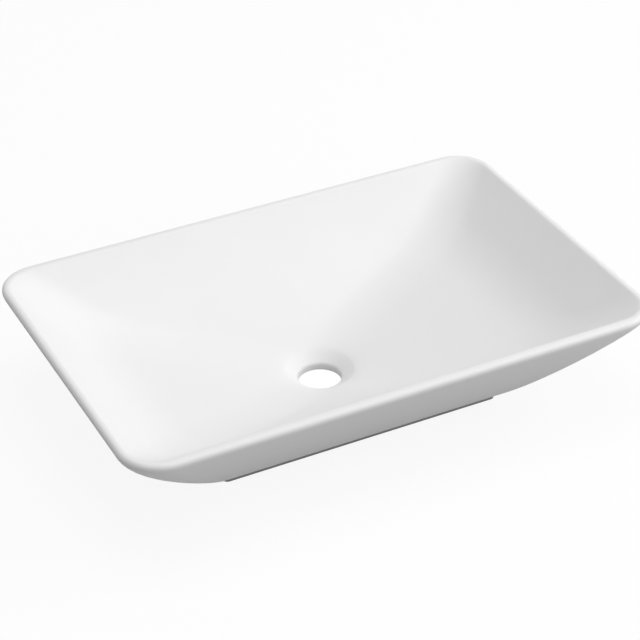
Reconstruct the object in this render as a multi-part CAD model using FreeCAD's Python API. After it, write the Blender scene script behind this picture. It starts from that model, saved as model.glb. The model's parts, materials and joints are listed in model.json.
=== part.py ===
"""Countertop washbasin: one ceramic body on four rubber seating strips, in millimetres.

The origin is on the counter under the middle of the rim. +X runs along the basin's length,
+Y towards its back and +Z up.
"""
import FreeCAD, Part
import math
import os

# Rim seen from above, and the basin's height over the counter
basin_length = 600.0
basin_width = 400.0
basin_height = 130.0
rim_corner_radius = 44.0
rim_thickness_sides = 10.0
rim_thickness_ends = 8.0
rim_outer_rounding = 4.8
rim_inner_rounding = 6.0
rim_land = 0.2

# Waste hole, a little behind the middle, in a shallow dish with a flat nut face under it
waste_hole_diameter = 48.0
waste_setback = 8.0
waste_hole_wall = 8.5
waste_lip_rounding = 4.5
waste_dish_depth = 12.5
nut_face_clearance = 10.0
nut_face_width = 22.0

# Bowl: the end walls and the long walls each fold softly into a gently falling floor
end_fold_inset = 67.0
end_fold_depth = 58.0
end_fold_radius = 127.0
side_fold_inset = 52.5
side_fold_depth = 62.5
side_fold_radius = 270.0
bowl_floor_radius = 43.0
bowl_floor_margin = 2.0
bowl_corner_swell = 5.0
shortest_straight = 1.0

# Outside wall: how late it leans in and how round it turns on its way down to the foot
end_lean = 1.42
end_turn = 1.03
side_lean = 1.02
side_turn = 1.24
side_roll = 3.0
outer_corner_swell = 10.5

# Foot, and the hollow that opens through it
foot_length = 324.0
foot_width = 190.0
foot_corner_radius = 5.5
foot_height = 2.8
foot_step = 1.2
foot_ring_width_sides = 13.5
foot_ring_width_ends = 18.5
bowl_wall = 6.5
skirt_thickness = 11.0
hollow_corner_radius = 6.0
solid_rim_depth = 68.0

# Rubber strips between the foot and the counter
strip_thickness = 3.6
strip_margin = 1.5
strip_joint_gap = 1.0

# Number of outlines that each lofted wall passes through
wall_sections = 14
bowl_sections = 16
hollow_sections = 8

# Sizes worked out from the dimensions above
half_length = basin_length / 2
half_width = basin_width / 2
half_foot_length = foot_length / 2
half_foot_width = foot_width / 2
strip_width = foot_ring_width_sides - strip_margin
wall_bottom = strip_thickness + foot_height
wall_top = basin_height - rim_outer_rounding - rim_land
roll_share = side_roll / (wall_top - wall_bottom)
hollow_top = basin_height - solid_rim_depth
mouth_half_length = half_length - rim_thickness_ends
mouth_half_width = half_width - rim_thickness_sides
mouth_corner_radius = rim_corner_radius - rim_thickness_sides
waste_hole_radius = waste_hole_diameter / 2
nut_face_radius = waste_hole_radius + nut_face_width
waste_lip_height = nut_face_clearance + waste_hole_wall
bowl_floor_height = waste_lip_height + waste_dish_depth
waste_dish_radius = bowl_floor_radius - bowl_floor_margin

upwards = FreeCAD.Vector(0, 0, 1)


def rounded_outline(reach_x, reach_y, corner_radius, centre_y, height):
    """Closed level outline of four straight sides and four quarter-round corners."""
    radius = min(corner_radius, reach_x - shortest_straight, reach_y - shortest_straight)
    diagonal = radius * math.sqrt(0.5)
    arcs = []
    for sign_x, sign_y in [(1, -1), (1, 1), (-1, 1), (-1, -1)]:
        corner = FreeCAD.Vector(sign_x * (reach_x - radius), centre_y + sign_y * (reach_y - radius), height)
        end_side = corner + FreeCAD.Vector(sign_x * radius, 0, 0)
        middle = corner + FreeCAD.Vector(sign_x * diagonal, sign_y * diagonal, 0)
        long_side = corner + FreeCAD.Vector(0, sign_y * radius, 0)
        if sign_x == sign_y:
            arcs.append((end_side, middle, long_side))
        else:
            arcs.append((long_side, middle, end_side))
    edges = []
    for index, (start, middle, end) in enumerate(arcs):
        next_start = arcs[(index + 1) % len(arcs)][0]
        edges.append(Part.Arc(start, middle, end).toShape())
        edges.append(Part.LineSegment(end, next_start).toShape())
    return Part.Wire(edges)


def upright_block(reach_x, reach_y, corner_radius, bottom, top):
    """Upright solid with a rounded rectangular outline, centred on the origin."""
    outline = rounded_outline(reach_x, reach_y, corner_radius, 0.0, bottom)
    return Part.Face(outline).extrude(upwards * (top - bottom))


def swollen(share, first, last, swell):
    """Size that runs from first to last and swells half way between them."""
    return first + (last - first) * share + 4 * swell * share * (1 - share)


def rolled(share):
    """Share of the way down that starts slowly, so that a long wall rolls in under the rim."""
    lag = roll_share * (1 - math.exp(-share / roll_share))
    last_lag = roll_share * (1 - math.exp(-1 / roll_share))
    return (share - lag) / (1 - last_lag)


def drawn_in(share, rim_reach, foot_reach, lean, turn):
    """Reach of the outside wall at a share of the way down from the rim to the foot."""
    return foot_reach + (rim_reach - foot_reach) * (1 - share ** lean) ** (1 / turn)


def wall_outline(share, end_inset=0.0, side_inset=0.0):
    """Outline of the outside wall at a share of the way down, or of a wall set in from it."""
    height = wall_top + (wall_bottom - wall_top) * share
    reach_x = drawn_in(share, half_length, half_foot_length + foot_step, end_lean, end_turn)
    reach_y = drawn_in(rolled(share), half_width, half_foot_width + foot_step, side_lean, side_turn)
    corner = swollen(share, rim_corner_radius, foot_corner_radius + foot_step, outer_corner_swell)
    if side_inset > 0:
        corner = max(corner - side_inset, hollow_corner_radius)
    return rounded_outline(reach_x - end_inset, reach_y - side_inset, corner, 0.0, height)


def outside_wall():
    """Solid inside the outside wall, from the foot up to the rim."""
    outlines = []
    for index in range(wall_sections):
        share = (1 - math.cos(math.pi * index / (wall_sections - 1))) / 2
        outlines.append(wall_outline(share))
    return Part.makeLoft(outlines, True)


def folded_reach(height, mouth_reach, fold_inset, fold_depth, fold_radius):
    """Half length or half width of the bowl at a height: straight wall, soft fold, then floor."""
    fold_reach = mouth_reach - fold_inset
    fold_height = basin_height - fold_depth
    wall_slope = math.atan2(fold_depth, fold_inset)
    floor_slope = math.atan2(fold_height - bowl_floor_height, fold_reach - bowl_floor_radius)
    fold_tangent = fold_radius * math.tan((wall_slope - floor_slope) / 2)
    arc_top = fold_height + fold_tangent * math.sin(wall_slope)
    arc_bottom = fold_height - fold_tangent * math.sin(floor_slope)
    if height >= arc_top:
        return mouth_reach - (basin_height - height) / math.tan(wall_slope)
    if height <= arc_bottom:
        return bowl_floor_radius + (height - bowl_floor_height) / math.tan(floor_slope)
    arc_end = fold_reach - fold_tangent * math.cos(floor_slope)
    centre_reach = arc_end - fold_radius * math.sin(floor_slope)
    centre_height = arc_bottom + fold_radius * math.cos(floor_slope)
    return centre_reach + math.sqrt(fold_radius ** 2 - (height - centre_height) ** 2)


def bowl(wall=0.0):
    """Solid that fills the bowl, or that fills its underside where a wall is given."""
    outlines = []
    for index in range(bowl_sections):
        share = math.sin(math.pi / 2 * index / (bowl_sections - 1))
        height = basin_height + (bowl_floor_height - basin_height) * share
        reach_x = folded_reach(height, mouth_half_length, end_fold_inset, end_fold_depth, end_fold_radius)
        reach_y = folded_reach(height, mouth_half_width, side_fold_inset, side_fold_depth, side_fold_radius)
        corner = swollen(share, mouth_corner_radius, bowl_floor_radius, bowl_corner_swell)
        centre_y = waste_setback * share
        outlines.append(rounded_outline(reach_x + wall, reach_y + wall, corner + wall, centre_y, height - wall))
    return Part.makeLoft(outlines, True)


def waste_opening():
    """Cutter for the dish around the waste hole, its rounded lip and the hole itself."""
    dish_slope = math.atan2(waste_dish_depth, waste_dish_radius - waste_hole_radius)
    lip_tangent = waste_lip_rounding * math.tan((math.pi / 2 - dish_slope) / 2)
    lip_bottom = waste_lip_height - lip_tangent
    lip_angle = (math.pi * 3 / 2 + dish_slope) / 2
    lip_x = waste_hole_radius + waste_lip_rounding * (1 + math.cos(lip_angle))
    lip_z = lip_bottom + waste_lip_rounding * math.sin(lip_angle)
    dish_x = waste_hole_radius + lip_tangent * math.cos(dish_slope)
    dish_z = waste_lip_height + lip_tangent * math.sin(dish_slope)

    def at(radius, height):
        return FreeCAD.Vector(radius, waste_setback, height)

    axis_bottom = at(0, 0)
    axis_top = at(0, bowl_floor_height + waste_dish_depth)
    hole_bottom = at(waste_hole_radius, 0)
    hole_top = at(waste_hole_radius, lip_bottom)
    dish_bottom = at(dish_x, dish_z)
    dish_edge = at(waste_dish_radius, bowl_floor_height)
    edges = [
        Part.LineSegment(axis_top, axis_bottom).toShape(),
        Part.LineSegment(axis_bottom, hole_bottom).toShape(),
        Part.LineSegment(hole_bottom, hole_top).toShape(),
        Part.Arc(hole_top, at(lip_x, lip_z), dish_bottom).toShape(),
        Part.LineSegment(dish_bottom, dish_edge).toShape(),
        Part.LineSegment(dish_edge, axis_top).toShape(),
    ]
    return Part.Face(Part.Wire(edges)).revolve(axis_bottom, upwards, 360)


def hollow_underside():
    """Hollow between the bowl and the outside wall, level on top and open through the foot."""
    first_share = (wall_top - hollow_top) / (wall_top - wall_bottom)
    outlines = []
    for index in range(hollow_sections):
        way_down = index / (hollow_sections - 1)
        end_inset = skirt_thickness + (foot_ring_width_ends + foot_step - skirt_thickness) * way_down
        side_inset = skirt_thickness + (foot_ring_width_sides + foot_step - skirt_thickness) * way_down
        outlines.append(wall_outline(first_share + (1 - first_share) * way_down, end_inset, side_inset))
    space = Part.makeLoft(outlines, True)
    mouth_x = half_foot_length - foot_ring_width_ends
    mouth_y = half_foot_width - foot_ring_width_sides
    mouth = upright_block(mouth_x, mouth_y, hollow_corner_radius, 0.0, wall_bottom)
    boss_base = FreeCAD.Vector(0, waste_setback, nut_face_clearance)
    boss = Part.makeCylinder(nut_face_radius, bowl_floor_height - nut_face_clearance, boss_base)
    return space.fuse(mouth).cut([bowl(bowl_wall), boss])


def level_edges(shape, height, reach_x, reach_y):
    """Edges that lie level at a height, no further out than the given reaches."""
    tolerance = 1e-3
    found = []
    for edge in shape.Edges:
        box = edge.BoundBox
        level = abs(box.ZMin - height) < tolerance and abs(box.ZMax - height) < tolerance
        within = max(box.XMax, -box.XMin) < reach_x + tolerance
        within = within and max(box.YMax, -box.YMin) < reach_y + tolerance
        if level and within:
            found.append(edge)
    return found


def make_basin_body():
    """Ceramic body: outside wall, rolled rim, foot, bowl, waste hole and hollow underside."""
    rim_band = upright_block(half_length, half_width, rim_corner_radius, wall_top, basin_height)
    rim_edges = level_edges(rim_band, basin_height, half_length, half_width)
    rim_band = rim_band.makeFillet(rim_outer_rounding, rim_edges)
    foot = upright_block(half_foot_length, half_foot_width, foot_corner_radius, strip_thickness, wall_bottom)
    body = outside_wall().fuse([rim_band, foot]).removeSplitter()
    body = body.cut(bowl())
    mouth_edges = level_edges(body, basin_height, mouth_half_length, mouth_half_width)
    body = body.makeFillet(rim_inner_rounding, mouth_edges)
    return body.cut(hollow_underside()).cut(waste_opening())


def make_seat_strips():
    """Four rubber strips round the foot: the long ones take the corners, the ends butt between."""
    ring = upright_block(half_foot_length, half_foot_width, foot_corner_radius, 0.0, strip_thickness)
    inner_x = half_foot_length - strip_width
    inner_y = half_foot_width - strip_width
    joint_y = inner_y - strip_joint_gap
    strips = {}
    for name, sign in [("front", -1), ("rear", 1)]:
        low_y = min(sign * inner_y, sign * half_foot_width)
        corner = FreeCAD.Vector(-half_foot_length, low_y, 0)
        strips[name] = ring.common(Part.makeBox(foot_length, strip_width, strip_thickness, corner))
    for name, sign in [("left", -1), ("right", 1)]:
        low_x = min(sign * inner_x, sign * half_foot_length)
        corner = FreeCAD.Vector(low_x, -joint_y, 0)
        strips[name] = ring.common(Part.makeBox(strip_width, 2 * joint_y, strip_thickness, corner))
    return strips


os.makedirs("parts", exist_ok=True)
pieces = {"basin_body": make_basin_body()}
for side, strip in make_seat_strips().items():
    pieces["seat_strip_" + side] = strip
for node, shape in pieces.items():
    shape.exportStep("parts/" + node + ".step")
    print(node, shape.isValid(), len(shape.Solids), len(shape.Faces), round(shape.Volume / 1000, 1), "cm3")
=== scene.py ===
"""Looks of the countertop washbasin: glazed ceramic body, rubber seating strips and a plain studio.

Sizes are in metres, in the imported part's own frame: the origin is on the counter under the middle
of the rim, +X runs along the basin's length, +Y towards its back and +Z up.
"""
import json
import math
from collections import namedtuple

import bmesh
import bpy
from bpy.props import FloatProperty, FloatVectorProperty, IntProperty, PointerProperty
from mathutils import Matrix, Vector


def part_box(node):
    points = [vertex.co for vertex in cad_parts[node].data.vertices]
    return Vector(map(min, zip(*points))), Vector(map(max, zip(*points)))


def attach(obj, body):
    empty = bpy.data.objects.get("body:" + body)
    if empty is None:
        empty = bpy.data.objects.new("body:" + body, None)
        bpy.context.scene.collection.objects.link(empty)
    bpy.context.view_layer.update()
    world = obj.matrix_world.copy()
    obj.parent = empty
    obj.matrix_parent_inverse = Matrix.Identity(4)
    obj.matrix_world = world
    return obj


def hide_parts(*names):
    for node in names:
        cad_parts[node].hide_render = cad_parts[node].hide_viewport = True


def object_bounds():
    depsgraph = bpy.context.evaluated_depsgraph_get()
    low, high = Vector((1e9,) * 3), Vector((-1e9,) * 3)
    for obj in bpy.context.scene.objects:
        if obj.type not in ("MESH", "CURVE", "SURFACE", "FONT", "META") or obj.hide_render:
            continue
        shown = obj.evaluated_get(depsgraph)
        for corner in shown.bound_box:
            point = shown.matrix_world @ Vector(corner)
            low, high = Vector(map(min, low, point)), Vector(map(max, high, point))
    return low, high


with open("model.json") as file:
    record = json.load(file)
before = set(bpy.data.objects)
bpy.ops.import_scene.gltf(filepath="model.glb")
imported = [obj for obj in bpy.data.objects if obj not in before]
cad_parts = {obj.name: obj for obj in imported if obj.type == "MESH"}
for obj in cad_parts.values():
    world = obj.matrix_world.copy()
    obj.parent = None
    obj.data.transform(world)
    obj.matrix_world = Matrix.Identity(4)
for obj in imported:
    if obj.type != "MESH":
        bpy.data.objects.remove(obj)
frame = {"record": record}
cad_low, cad_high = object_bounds()

bl_info = {
    "name": "Countertop washbasin",
    "version": (1, 0, 0),
    "blender": (4, 5, 0),
    "location": "View3D > Sidebar > Washbasin",
    "description": "Builds the looks of a ceramic countertop washbasin on its packed frame",
    "category": "Object",
}

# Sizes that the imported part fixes
mounts = {mount["name"]: mount for mount in frame["record"]["mounts"]}
front_strip_low, front_strip_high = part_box("seat_strip_front")
packed_waste_radius = mounts["waste_hole"]["dims"]["r_mm"] / 1000
packed_waste_setback = mounts["waste_hole"]["pos_m"][1]
packed_nut_height = mounts["nut_face"]["pos_m"][2]

# Level outline of a rounded rectangle: half length, half width, corner radius, middle and height
Outline = namedtuple("Outline", "reach_x reach_y corner centre_y height")

# One ring of the body's skin: its outline, its finish and how far its edge is broken
Ring = namedtuple("Ring", "outline finish break_size")

glazed_finish = 0
bare_finish = 1

# Shares of the way down the bowl at which its rings end, between the rim's rounding and the dish's
highest_bowl_share = 0.02
lowest_bowl_share = 0.95

# Share of the way down the bowl that gives the wall's direction under the rim
under_rim_share = 0.1

# Number of straight sides of the floor's round hole
floor_sides = 48


def length_property(name, description, default):
    """Property that holds a length in metres."""
    return FloatProperty(name=name, description=description, default=default, unit="LENGTH", precision=4)


def share_property(name, description, default):
    """Property that holds a plain number."""
    return FloatProperty(name=name, description=description, default=default, precision=3)


def angle_property(name, description, degrees):
    """Property that holds an angle, given in degrees."""
    return FloatProperty(name=name, description=description, default=math.radians(degrees), subtype="ANGLE")


def power_property(name, description, default):
    """Property that holds a lamp's power in watts."""
    return FloatProperty(name=name, description=description, default=default, unit="POWER")


def grey_property(name, description, default):
    """Property that holds a colour."""
    return FloatVectorProperty(
        name=name, description=description, default=default, subtype="COLOR", min=0, max=1)


class BasinSizes(bpy.types.PropertyGroup):
    """Sizes of the ceramic body."""

    length: length_property("Length", "Length of the rim", cad_high.x - cad_low.x)
    width: length_property("Width", "Width of the rim", cad_high.y - cad_low.y)
    height: length_property("Height", "Height of the rim over the counter", cad_high.z)
    rim_corner: length_property("Rim corner", "Radius of the rim's corners seen from above", 0.044)
    rim_thickness_sides: length_property("Rim at the sides", "Thickness of the rim at the sides", 0.010)
    rim_thickness_ends: length_property("Rim at the ends", "Thickness of the rim at the ends", 0.008)
    rim_outer_rounding: length_property("Rim outer rounding", "Rounding of the rim's outer edge", 0.0048)
    rim_inner_rounding: length_property("Rim inner rounding", "Reach of the rounding into the bowl", 0.0028)
    rim_land: length_property("Rim land", "Upright strip under the rim's rounding", 0.0002)
    end_fold_inset: length_property("End fold inset", "How far in the end walls fold", 0.067)
    end_fold_depth: length_property("End fold depth", "How far under the rim the end walls fold", 0.058)
    end_fold_radius: length_property("End fold radius", "Radius of the end walls' fold", 0.127)
    side_fold_inset: length_property("Side fold inset", "How far in the long walls fold", 0.0525)
    side_fold_depth: length_property("Side fold depth", "How far under the rim the long walls fold", 0.0625)
    side_fold_radius: length_property("Side fold radius", "Radius of the long walls' fold", 0.27)
    floor_radius: length_property("Floor radius", "Radius of the bowl's lowest outline", 0.043)
    bowl_corner_swell: length_property("Bowl corner swell", "Widening of the bowl's corners", 0.005)
    waste_radius: length_property("Waste hole radius", "Radius of the waste hole", packed_waste_radius)
    waste_setback: length_property("Waste setback", "How far behind the middle it is", packed_waste_setback)
    waste_lip_rounding: length_property("Waste lip rounding", "Reach of the lip's rounding", 0.0023)
    waste_hole_wall: length_property("Waste hole wall", "Height of the hole's wall", 0.0085)
    dish_radius: length_property("Dish radius", "Radius of the dish round the waste hole", 0.041)
    dish_depth: length_property("Dish depth", "Depth of the dish round the waste hole", 0.0125)
    dish_rounding: length_property("Dish rounding", "Reach of the rounding of the dish's edge", 0.005)
    nut_height: length_property("Nut face height", "Height of the face over the counter", packed_nut_height)
    nut_width: length_property("Nut face width", "Width of the flat ring under the waste hole", 0.022)
    end_lean: share_property("End lean", "How late the end walls lean in", 1.42)
    end_turn: share_property("End turn", "How round the end walls turn to the foot", 1.03)
    side_lean: share_property("Side lean", "How late the long walls lean in", 1.02)
    side_turn: share_property("Side turn", "How round the long walls turn to the foot", 1.24)
    side_roll: length_property("Side roll", "Depth of the roll under the rim", 0.003)
    outer_corner_swell: length_property("Outer corner swell", "Widening of the outer corners", 0.0105)
    foot_length: length_property("Foot length", "Length of the foot", front_strip_high.x - front_strip_low.x)
    foot_width: length_property("Foot width", "Width of the foot", -2 * front_strip_low.y)
    foot_corner: length_property("Foot corner", "Radius of the foot's corners", 0.0055)
    foot_height: length_property("Foot height", "Height of the foot's side", 0.0028)
    foot_step: length_property("Foot step", "How far the wall stands out over the foot", 0.0012)
    ring_width_sides: length_property("Foot ring at the sides", "Width of the foot at the sides", 0.0135)
    ring_width_ends: length_property("Foot ring at the ends", "Width of the foot at the ends", 0.0185)
    bowl_wall: length_property("Bowl wall", "Thickness of the bowl over the hollow", 0.0065)
    skirt_thickness: length_property("Skirt thickness", "Thickness of the wall at the hollow's top", 0.011)
    hollow_corner: length_property("Hollow corner", "Least radius of the hollow's corners", 0.006)
    solid_rim_depth: length_property("Solid rim depth", "How far under the rim the hollow ends", 0.068)
    strip_height: length_property("Strip height", "Thickness of the rubber strips", front_strip_high.z)
    stations: IntProperty(name="Stations", description="Points round each ring", default=320, min=16)


class BasinLooks(bpy.types.PropertyGroup):
    """Colours of the basin."""

    glaze_light: grey_property("Glaze", "Colour of the white glaze", (0.89, 0.89, 0.89))
    glaze_dark: grey_property("Thin glaze", "Colour of the glaze where it is thinner", (0.86, 0.86, 0.857))
    clay_light: grey_property("Bare clay", "Colour of the unglazed clay", (0.78, 0.76, 0.72))
    clay_dark: grey_property("Rough clay", "Colour of the clay's darker grains", (0.68, 0.66, 0.62))
    # The strips' greys are the rubber's own colour and also paint the shade line along the foot's base
    rubber_and_shade_light: grey_property("Rubber", "Colour of the seating strips", (0.32, 0.32, 0.32))
    rubber_and_shade_dark: grey_property("Dark rubber", "Colour of the strips' darker grains", (0.26, 0.26, 0.26))


class StudioSettings(bpy.types.PropertyGroup):
    """Camera, lamps and floor of the studio."""

    azimuth: angle_property("Azimuth", "Turn of the camera to the right of the basin's front", -26.412)
    elevation: angle_property("Elevation", "Height of the camera over the horizon", 33.638)
    roll: angle_property("Roll", "Tilt of the camera about its own view", -0.744)
    distance: length_property("Distance", "Distance from the camera to the middle of the rim", 2.2857)
    aim_right: length_property("Aim right", "How far the camera is moved to its right", -0.00246)
    aim_up: length_property("Aim up", "How far the camera is moved up in its picture", -0.02788)
    lens: FloatProperty(name="Lens", description="Focal length", default=121.19, unit="CAMERA")
    side_power: power_property("Side lamp", "Power of the lamp on the right", 70.0)
    side_azimuth: angle_property("Side lamp azimuth", "Turn of the side lamp from the front", 70.0)
    side_elevation: angle_property("Side lamp elevation", "Height of the side lamp over the horizon", 35.0)
    front_power: power_property("Front lamp", "Power of the low lamp in front", 28.0)
    front_azimuth: angle_property("Front lamp azimuth", "Turn of the lamp to the right of the front", 20.0)
    front_elevation: angle_property("Front lamp elevation", "Height of the front lamp over the horizon", 18.0)
    top_power: power_property("Top lamp", "Power of the lamp overhead", 52.0)
    top_elevation: angle_property("Top lamp elevation", "Height of the top lamp over the horizon", 89.0)
    lamp_distance: length_property("Lamp distance", "Distance from each lamp to the basin", 4.0)
    lamp_size: length_property("Lamp size", "Side of each square lamp", 2.6)
    surround: share_property("Surround", "Strength of the light from all round", 0.355)
    floor_white: share_property("Floor white", "Share of plain white in the floor as the camera sees it", 0.9)
    floor_tone: grey_property("Floor", "Colour of the floor as the camera sees it", (0.97, 0.97, 0.97))
    floor_bounce: grey_property("Floor bounce", "Colour of the light from the floor", (0.4, 0.4, 0.4))
    floor_size: length_property("Floor size", "Radius of the floor", 30.0)
    floor_hole: length_property("Floor hole", "Radius of the counter's hole under the waste", 0.05)


def between(first, last, share):
    """Outline at a share of the way from one outline to another."""
    return Outline(*[a + (b - a) * share for a, b in zip(first, last)])


def rounded_turn(before, corner, after, steps):
    """Outlines that round off the turn at a corner, from one outline to another."""
    outlines = []
    for step in range(steps + 1):
        share = step / steps
        outlines.append(between(between(before, corner, share), between(corner, after, share), share))
    return outlines


def toward(start, end, distance):
    """Outline that lies a distance from the start on the way to the end."""
    run = max(abs(end.reach_x - start.reach_x), abs(end.reach_y - start.reach_y))
    length = math.hypot(run, end.height - start.height)
    return between(start, end, distance / length)


def point_on(outline, share):
    """Point on an outline at a share of the way round it, counted from the middle of its right end."""
    quarter = share * 4
    quadrant = int(quarter) % 4
    way = quarter - int(quarter)
    if quadrant in (1, 3):
        way = 1 - way
    radius = min(outline.corner, outline.reach_x, outline.reach_y)
    end_straight = outline.reach_y - radius
    side_straight = outline.reach_x - radius
    arc = radius * math.pi / 2
    distance = way * (end_straight + arc + side_straight)
    if distance <= end_straight:
        x, y = outline.reach_x, distance
    elif distance < end_straight + arc:
        angle = (distance - end_straight) / radius
        x = side_straight + radius * math.cos(angle)
        y = end_straight + radius * math.sin(angle)
    else:
        x, y = end_straight + arc + side_straight - distance, outline.reach_y
    sign_x = -1 if quadrant in (1, 2) else 1
    sign_y = -1 if quadrant in (2, 3) else 1
    return Vector((sign_x * x, outline.centre_y + sign_y * y, outline.height))


def circle(sizes, radius, height):
    """Round outline about the waste's axis."""
    return Outline(radius, radius, radius, sizes.waste_setback, height)


def swollen(share, first, last, swell):
    """Size that runs from first to last and swells half way between them."""
    return first + (last - first) * share + 4 * swell * share * (1 - share)


def drawn_in(share, rim_reach, foot_reach, lean, turn):
    """Reach of the outside wall at a share of the way down from the rim to the foot."""
    return foot_reach + (rim_reach - foot_reach) * max(0, 1 - share ** lean) ** (1 / turn)


def wall_top(sizes):
    """Height at which the outside wall starts under the rim."""
    return sizes.height - sizes.rim_outer_rounding - sizes.rim_land


def wall_bottom(sizes):
    """Height at which the outside wall ends over the foot."""
    return sizes.strip_height + sizes.foot_height


def wall_outline(sizes, share, end_inset=0.0, side_inset=0.0):
    """Outline of the outside wall at a share of the way down, or of a wall set in from it."""
    drop = wall_top(sizes) - wall_bottom(sizes)
    roll = sizes.side_roll / drop
    rolled = share - roll * (1 - math.exp(-share / roll))
    rolled = rolled / (1 - roll * (1 - math.exp(-1 / roll)))
    half_foot_length = sizes.foot_length / 2 + sizes.foot_step
    half_foot_width = sizes.foot_width / 2 + sizes.foot_step
    reach_x = drawn_in(share, sizes.length / 2, half_foot_length, sizes.end_lean, sizes.end_turn)
    reach_y = drawn_in(rolled, sizes.width / 2, half_foot_width, sizes.side_lean, sizes.side_turn)
    corner = swollen(share, sizes.rim_corner, sizes.foot_corner + sizes.foot_step, sizes.outer_corner_swell)
    if side_inset > 0:
        corner = max(corner - side_inset, sizes.hollow_corner)
    return Outline(reach_x - end_inset, reach_y - side_inset, corner, 0.0, wall_top(sizes) - drop * share)


def floor_height(sizes):
    """Height of the bowl's lowest outline, at the edge of the dish."""
    return sizes.nut_height + sizes.waste_hole_wall + sizes.dish_depth


def folded_reach(sizes, height, mouth, fold_inset, fold_depth, fold_radius):
    """Half length or half width of the bowl at a height: straight wall, soft fold, then floor."""
    fold_reach = mouth - fold_inset
    fold_z = sizes.height - fold_depth
    wall_slope = math.atan2(fold_depth, fold_inset)
    floor_slope = math.atan2(fold_z - floor_height(sizes), fold_reach - sizes.floor_radius)
    tangent = fold_radius * math.tan((wall_slope - floor_slope) / 2)
    arc_bottom = fold_z - tangent * math.sin(floor_slope)
    if height >= fold_z + tangent * math.sin(wall_slope):
        return mouth - (sizes.height - height) / math.tan(wall_slope)
    if height <= arc_bottom:
        return sizes.floor_radius + (height - floor_height(sizes)) / math.tan(floor_slope)
    centre_reach = fold_reach - tangent * math.cos(floor_slope) - fold_radius * math.sin(floor_slope)
    centre_z = arc_bottom + fold_radius * math.cos(floor_slope)
    return centre_reach + math.sqrt(fold_radius ** 2 - (height - centre_z) ** 2)


def bowl_outline(sizes, share, wall=0.0):
    """Outline of the bowl at a share of the way down, or of its underside where a wall is given."""
    mouth_x = sizes.length / 2 - sizes.rim_thickness_ends
    mouth_y = sizes.width / 2 - sizes.rim_thickness_sides
    mouth_corner = sizes.rim_corner - sizes.rim_thickness_sides
    height = sizes.height + (floor_height(sizes) - sizes.height) * share
    end_fold = (sizes.end_fold_inset, sizes.end_fold_depth, sizes.end_fold_radius)
    side_fold = (sizes.side_fold_inset, sizes.side_fold_depth, sizes.side_fold_radius)
    reach_x = folded_reach(sizes, height, mouth_x, *end_fold) + wall
    reach_y = folded_reach(sizes, height, mouth_y, *side_fold) + wall
    corner = swollen(share, mouth_corner, sizes.floor_radius, sizes.bowl_corner_swell) + wall
    return Outline(reach_x, reach_y, min(corner, reach_y), sizes.waste_setback * share, height - wall)


def waste_outlines(sizes):
    """Outlines from the hole's lower edge over its lip and up the dish to the bowl's floor."""
    hole_bottom = circle(sizes, sizes.waste_radius, sizes.nut_height)
    lip = circle(sizes, sizes.waste_radius, sizes.nut_height + sizes.waste_hole_wall)
    dish_edge = circle(sizes, sizes.dish_radius, floor_height(sizes))
    bowl_start = bowl_outline(sizes, lowest_bowl_share)
    lip_start = toward(lip, hole_bottom, sizes.waste_lip_rounding)
    lip_end = toward(lip, dish_edge, sizes.waste_lip_rounding)
    edge_start = toward(dish_edge, lip, sizes.dish_rounding)
    lip_steps, dish_steps, edge_steps = 5, 3, 8
    outlines = [hole_bottom, between(hole_bottom, lip_start, 0.5)]
    outlines += rounded_turn(lip_start, lip, lip_end, lip_steps)
    for step in range(1, dish_steps):
        outlines.append(between(lip_end, edge_start, step / dish_steps))
    outlines += rounded_turn(edge_start, dish_edge, bowl_start, edge_steps)
    return outlines


def bowl_outlines(sizes):
    """Outlines up the bowl from its floor to the rounding of the rim's inner edge."""
    steps = 54
    outlines = []
    for step in range(1, steps + 1):
        share = lowest_bowl_share + (highest_bowl_share - lowest_bowl_share) * step / steps
        outlines.append(bowl_outline(sizes, share))
    return outlines


def rim_outlines(sizes):
    """Outlines over the rim: inner rounding, crown and outer rounding."""
    mouth = bowl_outline(sizes, 0.0)
    bend = sizes.rim_outer_rounding
    reach_x = sizes.length / 2 - bend
    reach_y = sizes.width / 2 - bend
    crown = Outline(reach_x, reach_y, sizes.rim_corner - bend, 0.0, sizes.height)
    inner_start = toward(mouth, bowl_outline(sizes, under_rim_share), sizes.rim_inner_rounding)
    inner_end = toward(mouth, crown, sizes.rim_inner_rounding)
    inner_steps, outer_steps = 6, 9
    outlines = rounded_turn(inner_start, mouth, inner_end, inner_steps)
    outlines.append(between(inner_end, crown, 0.5))
    for step in range(outer_steps + 1):
        angle = math.pi / 2 * step / outer_steps
        out = bend * math.sin(angle)
        height = sizes.height - bend + bend * math.cos(angle)
        outlines.append(Outline(reach_x + out, reach_y + out, sizes.rim_corner - bend + out, 0.0, height))
    return outlines


def outside_outlines(sizes):
    """Outlines down the outside wall from the rim's land to the foot."""
    steps = 46
    outlines = []
    for step in range(steps + 1):
        share = (1 - math.cos(math.pi * step / steps)) / 2
        outlines.append(wall_outline(sizes, share))
    return outlines


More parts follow.
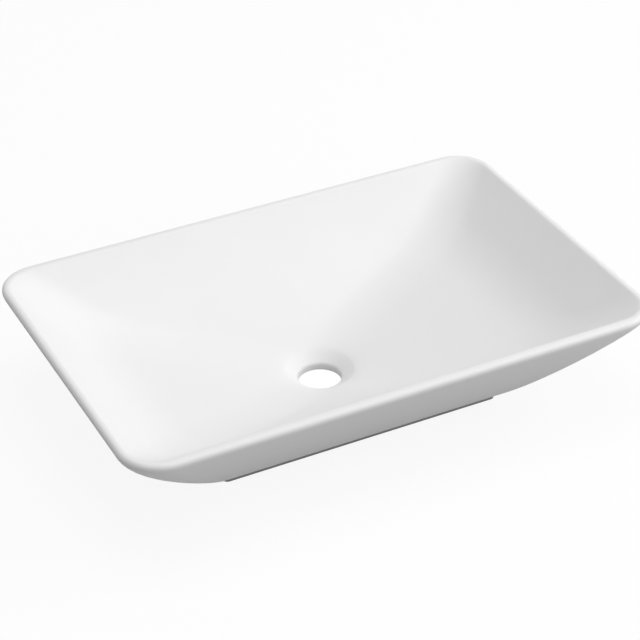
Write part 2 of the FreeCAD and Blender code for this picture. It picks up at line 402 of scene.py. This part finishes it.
def hollow_outlines(sizes):
    """Outlines up the hollow's wall, across its level top and down the bowl's underside."""
    drop = wall_top(sizes) - wall_bottom(sizes)
    hollow_top = sizes.height - sizes.solid_rim_depth
    first_share = (wall_top(sizes) - hollow_top) / drop
    foot_inset_x = sizes.ring_width_ends + sizes.foot_step
    foot_inset_y = sizes.ring_width_sides + sizes.foot_step
    wall_steps, bowl_steps = 10, 16
    outlines = []
    for step in range(wall_steps + 1):
        way_up = step / wall_steps
        end_inset = foot_inset_x + (sizes.skirt_thickness - foot_inset_x) * way_up
        side_inset = foot_inset_y + (sizes.skirt_thickness - foot_inset_y) * way_up
        outlines.append(wall_outline(sizes, 1 - (1 - first_share) * way_up, end_inset, side_inset))
    bowl_drop = sizes.height - floor_height(sizes)
    top_share = (sizes.height - hollow_top - sizes.bowl_wall) / bowl_drop
    for step in range(bowl_steps + 1):
        share = top_share + (1 - top_share) * step / bowl_steps
        outlines.append(bowl_outline(sizes, share, sizes.bowl_wall))
    return outlines


def body_rings(sizes):
    """All rings of the body's closed skin, from the waste hole's lower edge round and back to it."""
    soft_break = 0.0008
    fine_break = 0.0003
    half_foot_x = sizes.foot_length / 2
    half_foot_y = sizes.foot_width / 2
    mouth_x = half_foot_x - sizes.ring_width_ends
    mouth_y = half_foot_y - sizes.ring_width_sides
    foot_top = Outline(half_foot_x, half_foot_y, sizes.foot_corner, 0.0, wall_bottom(sizes))
    foot_bottom = foot_top._replace(height=sizes.strip_height)
    mouth = Outline(mouth_x, mouth_y, sizes.hollow_corner, 0.0, sizes.strip_height)
    nut_radius = sizes.waste_radius + sizes.nut_width
    boss_top = circle(sizes, nut_radius, floor_height(sizes) - sizes.bowl_wall)
    nut_edge = circle(sizes, nut_radius, sizes.nut_height)

    rings = []
    glazed_skin = waste_outlines(sizes) + bowl_outlines(sizes) + rim_outlines(sizes) + outside_outlines(sizes)
    for outline in glazed_skin:
        rings.append(Ring(outline, glazed_finish, 0.0))
    rings[0] = rings[0]._replace(break_size=soft_break)
    rings[-1] = rings[-1]._replace(break_size=fine_break)
    rings.append(Ring(foot_top, glazed_finish, 0.0))
    rings.append(Ring(foot_bottom, glazed_finish, fine_break))
    rings.append(Ring(mouth, bare_finish, fine_break))
    for outline in hollow_outlines(sizes):
        rings.append(Ring(outline, bare_finish, 0.0))
    rings.append(Ring(boss_top, bare_finish, 0.0))
    rings.append(Ring(nut_edge, bare_finish, soft_break))
    return rings


def ring_edges(edges_of):
    """Edges in what an extrusion gives back."""
    return [item for item in edges_of["geom"] if isinstance(item, bmesh.types.BMEdge)]


def lay_ring(edges, station, outline, count):
    """Moves the corners of a ring of edges on to an outline."""
    corners = {corner for edge in edges for corner in edge.verts}
    for corner in corners:
        corner.co = point_on(outline, corner[station] / count)


def body_mesh(sizes):
    """Closed skin of the body, extruded ring by ring and bridged back to its first ring."""
    shape = bmesh.new()
    station = shape.verts.layers.int.new("station")
    rings = body_rings(sizes)
    start = bmesh.ops.create_circle(shape, segments=sizes.stations, radius=1.0)["verts"]
    for index, corner in enumerate(start):
        corner[station] = index
    first_edges = list(shape.edges)
    edges = first_edges
    lay_ring(edges, station, rings[0].outline, sizes.stations)
    broken = {rings[0].break_size: list(first_edges)}
    for ring in rings[1:]:
        edges = ring_edges(bmesh.ops.extrude_edge_only(shape, edges=edges))
        lay_ring(edges, station, ring.outline, sizes.stations)
        for edge in edges:
            for face in edge.link_faces:
                face.material_index = ring.finish
        if ring.break_size > 0:
            broken.setdefault(ring.break_size, []).extend(edges)
    closing = bmesh.ops.bridge_loops(shape, edges=first_edges + edges)
    for face in closing["faces"]:
        face.material_index = bare_finish
    for size, hard_edges in broken.items():
        bmesh.ops.bevel(shape, geom=hard_edges, offset=size, offset_type="OFFSET", affect="EDGES",
                        segments=2, profile=0.5, material=-1)
    bmesh.ops.recalc_face_normals(shape, faces=list(shape.faces))
    for face in shape.faces:
        face.smooth = True
    return shape


def strip_mesh(low, high, outer_corner, rounded_sides):
    """Rubber strip in a box, with the given outer sides' upright corners rounded."""
    shape = bmesh.new()
    size = high - low
    middle = (low + high) / 2
    bmesh.ops.create_cube(shape, size=1.0)
    bmesh.ops.scale(shape, vec=size, verts=list(shape.verts))
    bmesh.ops.translate(shape, vec=middle, verts=list(shape.verts))
    upright = []
    for edge in shape.edges:
        first, last = edge.verts
        is_upright = abs(first.co.z - last.co.z) > size.z / 2
        if is_upright and first.co.y * rounded_sides > middle.y * rounded_sides:
            upright.append(edge)
    if rounded_sides:
        bmesh.ops.bevel(shape, geom=upright, offset=outer_corner, offset_type="OFFSET", affect="EDGES",
                        segments=10, profile=0.5, material=-1)
    level = [edge for edge in shape.edges if abs(edge.verts[0].co.z - edge.verts[1].co.z) < size.z / 2]
    edge_break = size.z / 8
    bmesh.ops.bevel(shape, geom=level, offset=edge_break, offset_type="OFFSET", affect="EDGES",
                    segments=2, profile=0.5, material=-1)
    bmesh.ops.recalc_face_normals(shape, faces=list(shape.faces))
    return shape


def add_piece(name, shape, materials):
    """Object made of a finished shape, with its materials."""
    mesh = bpy.data.meshes.new(name)
    shape.to_mesh(mesh)
    shape.free()
    for material in materials:
        mesh.materials.append(material)
    piece = bpy.data.objects.new(name, mesh)
    bpy.context.scene.collection.objects.link(piece)
    return piece


def new_socket(group, name, direction, kind, default=None):
    """Named input or output of a node group."""
    socket = group.interface.new_socket(name=name, in_out=direction, socket_type=kind)
    if default is not None:
        socket.default_value = default
    return socket


def mottle_group():
    """Node group that mottles a finish: tone, roughness and fine height, all changing over the surface."""
    name = "Mottle"
    if name in bpy.data.node_groups:
        return bpy.data.node_groups[name]
    group = bpy.data.node_groups.new(name, "ShaderNodeTree")
    new_socket(group, "Light Colour", "INPUT", "NodeSocketColor")
    new_socket(group, "Dark Colour", "INPUT", "NodeSocketColor")
    new_socket(group, "Patch Scale", "INPUT", "NodeSocketFloat", 12.0)
    new_socket(group, "Grain Scale", "INPUT", "NodeSocketFloat", 400.0)
    new_socket(group, "Smoothest", "INPUT", "NodeSocketFloat", 0.2)
    new_socket(group, "Roughest", "INPUT", "NodeSocketFloat", 0.3)
    new_socket(group, "Colour", "OUTPUT", "NodeSocketColor")
    new_socket(group, "Roughness", "OUTPUT", "NodeSocketFloat")
    new_socket(group, "Height", "OUTPUT", "NodeSocketFloat")
    nodes, links = group.nodes, group.links
    inputs = nodes.new("NodeGroupInput")
    outputs = nodes.new("NodeGroupOutput")
    place = nodes.new("ShaderNodeTexCoord")
    patches = nodes.new("ShaderNodeTexNoise")
    patches.inputs["Detail"].default_value = 3.0
    grain = nodes.new("ShaderNodeTexNoise")
    grain.inputs["Detail"].default_value = 2.0
    tone = nodes.new("ShaderNodeMix")
    tone.data_type = "RGBA"
    polish = nodes.new("ShaderNodeMapRange")
    links.new(place.outputs["Object"], patches.inputs["Vector"])
    links.new(place.outputs["Object"], grain.inputs["Vector"])
    links.new(inputs.outputs["Patch Scale"], patches.inputs["Scale"])
    links.new(inputs.outputs["Grain Scale"], grain.inputs["Scale"])
    links.new(patches.outputs["Fac"], tone.inputs["Factor"])
    links.new(inputs.outputs["Dark Colour"], tone.inputs["A"])
    links.new(inputs.outputs["Light Colour"], tone.inputs["B"])
    links.new(grain.outputs["Fac"], polish.inputs["Value"])
    links.new(inputs.outputs["Smoothest"], polish.inputs["To Min"])
    links.new(inputs.outputs["Roughest"], polish.inputs["To Max"])
    links.new(tone.outputs["Result"], outputs.inputs["Colour"])
    links.new(polish.outputs["Result"], outputs.inputs["Roughness"])
    links.new(grain.outputs["Fac"], outputs.inputs["Height"])
    return group


def mottled_material(name, light, dark, patch_scale, grain_scale, smoothest, roughest, gloss, relief):
    """Material whose tone, roughness and fine relief come from the mottle group."""
    if name in bpy.data.materials:
        return bpy.data.materials[name]
    material = bpy.data.materials.new(name)
    material.use_nodes = True
    nodes, links = material.node_tree.nodes, material.node_tree.links
    shader = nodes["Principled BSDF"]
    shader.inputs["Specular IOR Level"].default_value = gloss
    mottle = nodes.new("ShaderNodeGroup")
    mottle.node_tree = mottle_group()
    mottle.inputs["Light Colour"].default_value = (*light, 1.0)
    mottle.inputs["Dark Colour"].default_value = (*dark, 1.0)
    mottle.inputs["Patch Scale"].default_value = patch_scale
    mottle.inputs["Grain Scale"].default_value = grain_scale
    mottle.inputs["Smoothest"].default_value = smoothest
    mottle.inputs["Roughest"].default_value = roughest
    bump = nodes.new("ShaderNodeBump")
    bump.inputs["Strength"].default_value = 0.3
    bump.inputs["Distance"].default_value = relief
    links.new(mottle.outputs["Colour"], shader.inputs["Base Color"])
    links.new(mottle.outputs["Roughness"], shader.inputs["Roughness"])
    links.new(mottle.outputs["Height"], bump.inputs["Height"])
    links.new(bump.outputs["Normal"], shader.inputs["Normal"])
    return material


def glaze_material(looks):
    """White glaze: smooth and satin, with a faint change of tone and the slightest waviness."""
    return mottled_material(
        "white_glaze", looks.glaze_light, looks.glaze_dark, patch_scale=9.0, grain_scale=70.0,
        smoothest=0.57, roughest=0.63, gloss=0.25, relief=0.00004)


def clay_material(looks):
    """Unglazed clay of the foot's underside and the hollow."""
    return mottled_material(
        "bare_clay", looks.clay_light, looks.clay_dark, patch_scale=40.0, grain_scale=900.0,
        smoothest=0.80, roughest=0.95, gloss=0.5, relief=0.0002)


def rubber_and_shade_material(looks):
    """Dark rubber of the seating strips; its dark grey also paints the shade line along the foot's base."""
    return mottled_material(
        "strip_rubber", looks.rubber_and_shade_light, looks.rubber_and_shade_dark, patch_scale=120.0, grain_scale=1500.0,
        smoothest=0.60, roughest=0.75, gloss=0.5, relief=0.0001)


def seen_white(nodes, links):
    """Value of 1 for what the camera sees, directly, mirrored or through glass."""
    path = nodes.new("ShaderNodeLightPath")
    seen = nodes.new("ShaderNodeMath")
    seen.operation = "MAXIMUM"
    shown = nodes.new("ShaderNodeMath")
    shown.operation = "MAXIMUM"
    links.new(path.outputs["Is Camera Ray"], seen.inputs[0])
    links.new(path.outputs["Is Glossy Ray"], seen.inputs[1])
    links.new(seen.outputs["Value"], shown.inputs[0])
    links.new(path.outputs["Is Transmission Ray"], shown.inputs[1])
    return shown.outputs["Value"]


def floor_material(stage):
    """Pale floor seen mostly as plain white, still with the basin's shadow, and open from below."""
    material = bpy.data.materials.new("studio_floor")
    material.use_nodes = True
    nodes, links = material.node_tree.nodes, material.node_tree.links
    matte = nodes["Principled BSDF"]
    tone = nodes.new("ShaderNodeMix")
    tone.data_type = "RGBA"
    tone.inputs["A"].default_value = (*stage.floor_bounce, 1.0)
    tone.inputs["B"].default_value = (*stage.floor_tone, 1.0)
    matte.inputs["Roughness"].default_value = 1.0
    matte.inputs["Specular IOR Level"].default_value = 0.0
    white = nodes.new("ShaderNodeEmission")
    share = nodes.new("ShaderNodeMath")
    share.operation = "MULTIPLY"
    share.inputs[1].default_value = stage.floor_white
    lit = nodes.new("ShaderNodeMixShader")
    side = nodes.new("ShaderNodeNewGeometry")
    clear = nodes.new("ShaderNodeBsdfTransparent")
    faced = nodes.new("ShaderNodeMixShader")
    seen = seen_white(nodes, links)
    links.new(seen, tone.inputs["Factor"])
    links.new(tone.outputs["Result"], matte.inputs["Base Color"])
    links.new(seen, share.inputs[0])
    links.new(share.outputs["Value"], lit.inputs["Fac"])
    links.new(matte.outputs["BSDF"], lit.inputs[1])
    links.new(white.outputs["Emission"], lit.inputs[2])
    links.new(side.outputs["Backfacing"], faced.inputs["Fac"])
    links.new(lit.outputs["Shader"], faced.inputs[1])
    links.new(clear.outputs["BSDF"], faced.inputs[2])
    links.new(faced.outputs["Shader"], nodes["Material Output"].inputs["Surface"])
    return material


def set_world(stage):
    """Even light from all round, which the camera sees as plain white."""
    world = bpy.data.worlds.new("studio")
    world.use_nodes = True
    bpy.context.scene.world = world
    nodes, links = world.node_tree.nodes, world.node_tree.links
    backdrop = nodes["Background"]
    backdrop.inputs["Color"].default_value = (1.0, 1.0, 1.0, 1.0)
    strength = nodes.new("ShaderNodeMapRange")
    strength.inputs["To Min"].default_value = stage.surround
    strength.inputs["To Max"].default_value = 1.0
    links.new(seen_white(nodes, links), strength.inputs["Value"])
    links.new(strength.outputs["Result"], backdrop.inputs["Strength"])


def direction(azimuth, elevation):
    """Direction from the basin at a turn to the right of its front and a height over the horizon."""
    level = math.cos(elevation)
    return Vector((math.sin(azimuth) * level, -math.cos(azimuth) * level, math.sin(elevation)))


def aimed(position, back):
    """Placing that looks from a position against the back direction, upright."""
    right = Vector((0, 0, 1)).cross(back).normalized()
    up = back.cross(right)
    turn = Matrix((right, up, back)).transposed()
    return Matrix.Translation(position) @ turn.to_4x4()


def floor_mesh(radius, hole_radius, hole_centre):
    """Flat round floor that faces up, with a round hole in it."""
    shape = bmesh.new()
    hole = bmesh.ops.create_circle(shape, segments=floor_sides, radius=hole_radius)["verts"]
    bmesh.ops.translate(shape, vec=hole_centre, verts=hole)
    widened = bmesh.ops.extrude_edge_only(shape, edges=list(shape.edges))
    outer = [item for item in widened["geom"] if isinstance(item, bmesh.types.BMVert)]
    bmesh.ops.scale(shape, vec=Vector((1, 1, 1)) * (radius / hole_radius), verts=outer)
    bmesh.ops.recalc_face_normals(shape, faces=list(shape.faces))
    faces_down = [face for face in shape.faces if face.normal.z < 0]
    bmesh.ops.reverse_faces(shape, faces=faces_down)
    return shape


def add_lamp(name, power, size, placing):
    """Square lamp in a placing."""
    lamp_data = bpy.data.lights.new(name, "AREA")
    lamp_data.shape = "SQUARE"
    lamp_data.size = size
    lamp_data.energy = power
    lamp = bpy.data.objects.new(name, lamp_data)
    lamp.matrix_world = placing
    bpy.context.scene.collection.objects.link(lamp)


def add_camera(stage, middle):
    """Camera that looks at the basin from the photo's angle."""
    back = direction(stage.azimuth, stage.elevation)
    shift = aimed(Vector(), back) @ Vector((stage.aim_right, stage.aim_up, stage.distance))
    camera_data = bpy.data.cameras.new("photo_camera")
    camera_data.lens = stage.lens
    camera = bpy.data.objects.new("photo_camera", camera_data)
    camera.matrix_world = aimed(middle + shift, back) @ Matrix.Rotation(stage.roll, 4, "Z")
    bpy.context.scene.collection.objects.link(camera)
    bpy.context.scene.camera = camera


class WASHBASIN_OT_body(bpy.types.Operator):
    """Model the ceramic body with its glaze and its bare foot"""

    bl_idname = "washbasin.body"
    bl_label = "Ceramic body"

    def execute(self, context):
        scene = context.scene
        materials = [glaze_material(scene.basin_looks), clay_material(scene.basin_looks)]
        piece = add_piece("ceramic_body", body_mesh(scene.basin_sizes), materials)
        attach(piece, "root")
        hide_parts("basin_body")
        return {"FINISHED"}


class WASHBASIN_OT_strips(bpy.types.Operator):
    """Model the four dark rubber strips that the foot stands on, which also paint the shade line along its
    base
    """

    bl_idname = "washbasin.strips"
    bl_label = "Seating strips"

    def execute(self, context):
        scene = context.scene
        # Dark grey rubber whose tone also paints the shade line along the foot's base
        rubber = rubber_and_shade_material(scene.basin_looks)
        for side, rounded in [("front", -1), ("rear", 1), ("left", 0), ("right", 0)]:
            node = "seat_strip_" + side
            low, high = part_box(node)
            shape = strip_mesh(low, high, scene.basin_sizes.foot_corner, rounded)
            piece = add_piece("rubber_strip_" + side, shape, [rubber])
            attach(piece, "root")
            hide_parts(node)
        return {"FINISHED"}


class WASHBASIN_OT_stage(bpy.types.Operator):
    """Set up the floor, the light and the camera"""

    bl_idname = "washbasin.stage"
    bl_label = "Studio"

    def execute(self, context):
        scene = context.scene
        stage = scene.basin_studio
        sizes = scene.basin_sizes
        scene.view_settings.view_transform = "Standard"
        set_world(stage)

        hole_centre = Vector((0, sizes.waste_setback, 0))
        shape = floor_mesh(stage.floor_size, stage.floor_hole, hole_centre)
        floor = add_piece("studio_floor", shape, [floor_material(stage)])

        middle = Vector((0, 0, sizes.height))
        lamps = [
            ("side_lamp", stage.side_power, direction(stage.side_azimuth, stage.side_elevation)),
            ("front_lamp", stage.front_power, direction(stage.front_azimuth, stage.front_elevation)),
            ("top_lamp", stage.top_power, direction(stage.side_azimuth, stage.top_elevation)),
        ]
        for name, power, side in lamps:
            placing = aimed(middle + side * stage.lamp_distance, side)
            add_lamp(name, power, stage.lamp_size, placing)
        add_camera(stage, middle)
        return {"FINISHED"}


class WASHBASIN_PT_panel(bpy.types.Panel):
    """Lists the steps that build the washbasin and its main settings"""

    bl_idname = "WASHBASIN_PT_panel"
    bl_label = "Washbasin"
    bl_space_type = "VIEW_3D"
    bl_region_type = "UI"
    bl_category = "Washbasin"

    def draw(self, context):
        layout = self.layout
        for operator in (WASHBASIN_OT_body, WASHBASIN_OT_strips, WASHBASIN_OT_stage):
            layout.operator(operator.bl_idname)
        layout.prop(context.scene.basin_sizes, "stations")
        layout.prop(context.scene.basin_looks, "glaze_light")
        layout.prop(context.scene.basin_studio, "side_power")


classes = (
    BasinSizes,
    BasinLooks,
    StudioSettings,
    WASHBASIN_OT_body,
    WASHBASIN_OT_strips,
    WASHBASIN_OT_stage,
    WASHBASIN_PT_panel,
)


def register():
    """Registers the classes and hangs the settings on the scene."""
    for item in classes:
        bpy.utils.register_class(item)
    bpy.types.Scene.basin_sizes = PointerProperty(type=BasinSizes)
    bpy.types.Scene.basin_looks = PointerProperty(type=BasinLooks)
    bpy.types.Scene.basin_studio = PointerProperty(type=StudioSettings)


def unregister():
    """Takes the settings off the scene and unregisters the classes."""
    del bpy.types.Scene.basin_studio
    del bpy.types.Scene.basin_looks
    del bpy.types.Scene.basin_sizes
    for item in reversed(classes):
        bpy.utils.unregister_class(item)


def main():
    register()
    bpy.ops.washbasin.body()
    bpy.ops.washbasin.strips()
    bpy.ops.washbasin.stage()


if __name__ == "__main__":
    main()
